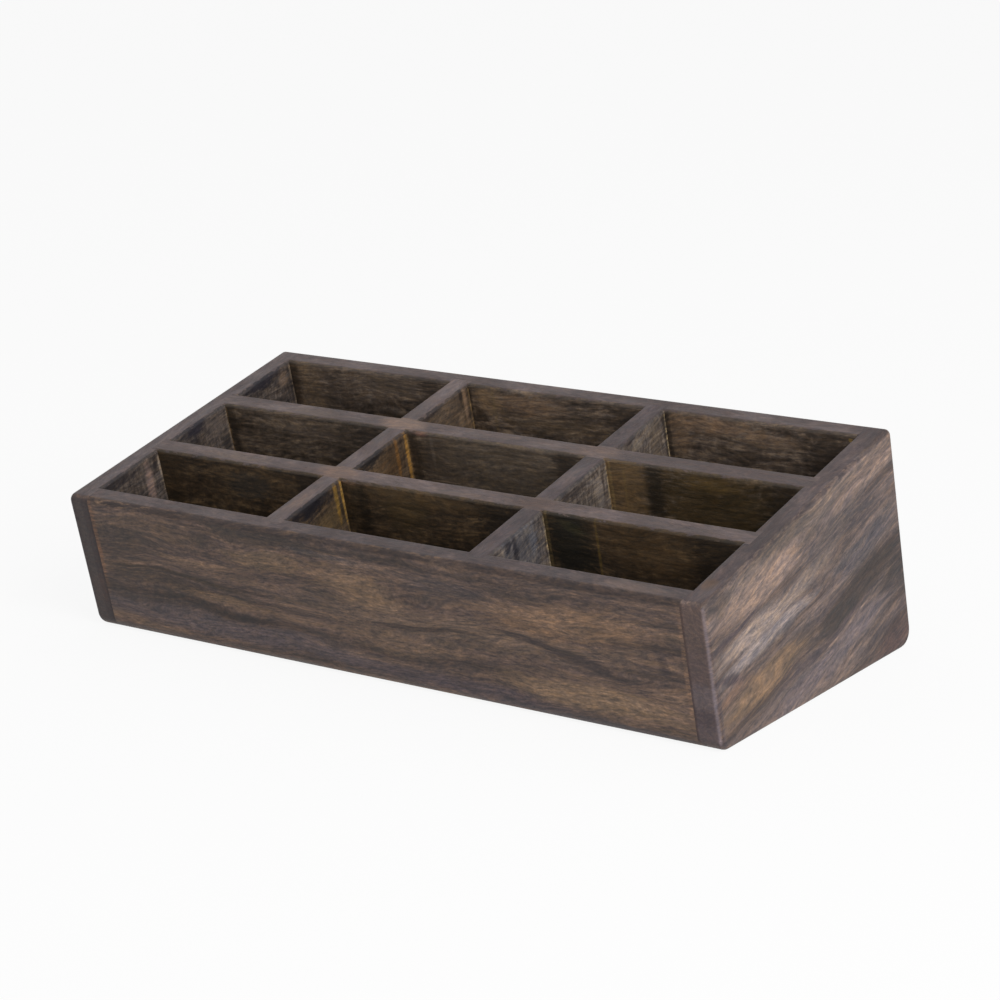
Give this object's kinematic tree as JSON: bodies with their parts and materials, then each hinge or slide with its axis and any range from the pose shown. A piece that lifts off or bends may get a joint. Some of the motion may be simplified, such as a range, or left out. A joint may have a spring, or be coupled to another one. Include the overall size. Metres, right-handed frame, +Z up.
{
  "type": "condiment caddy",
  "caption": "Wedge-shaped dark stained wooden condiment caddy: a grid of open bins under a rim that slopes down towards the user, for packets, sauces and cutlery.",
  "frame": {"origin": "centre of the footprint's bounding box, on the surface the caddy stands on", "axes": "+X to the user's right along the caddy's width, +Y away from the user towards the tall back, +Z up"},
  "size_m": [0.356, 0.1942, 0.1104],
  "materials": {
    "stained_wood": "dark brown stain with a thin satin oil finish",
    "floor_wood": "dark brown stain",
    "dowel_wood": "bare beech",
    "brad_steel": "bright drawn steel"
  },
  "bodies": {
    "root": {"front_panel": "stained_wood", "back_panel": "stained_wood", "left_end_panel": "stained_wood", "right_end_panel": "stained_wood", "floor_board": "floor_wood", "front_row_divider": "stained_wood", "rear_row_divider": "stained_wood", "left_cross_divider": "stained_wood", "right_cross_divider": "stained_wood", "front_left_dowels": "dowel_wood", "front_right_dowels": "dowel_wood", "back_left_dowels": "dowel_wood", "back_right_dowels": "dowel_wood", "floor_brads": "brad_steel"}
  },
  "joints": []
}
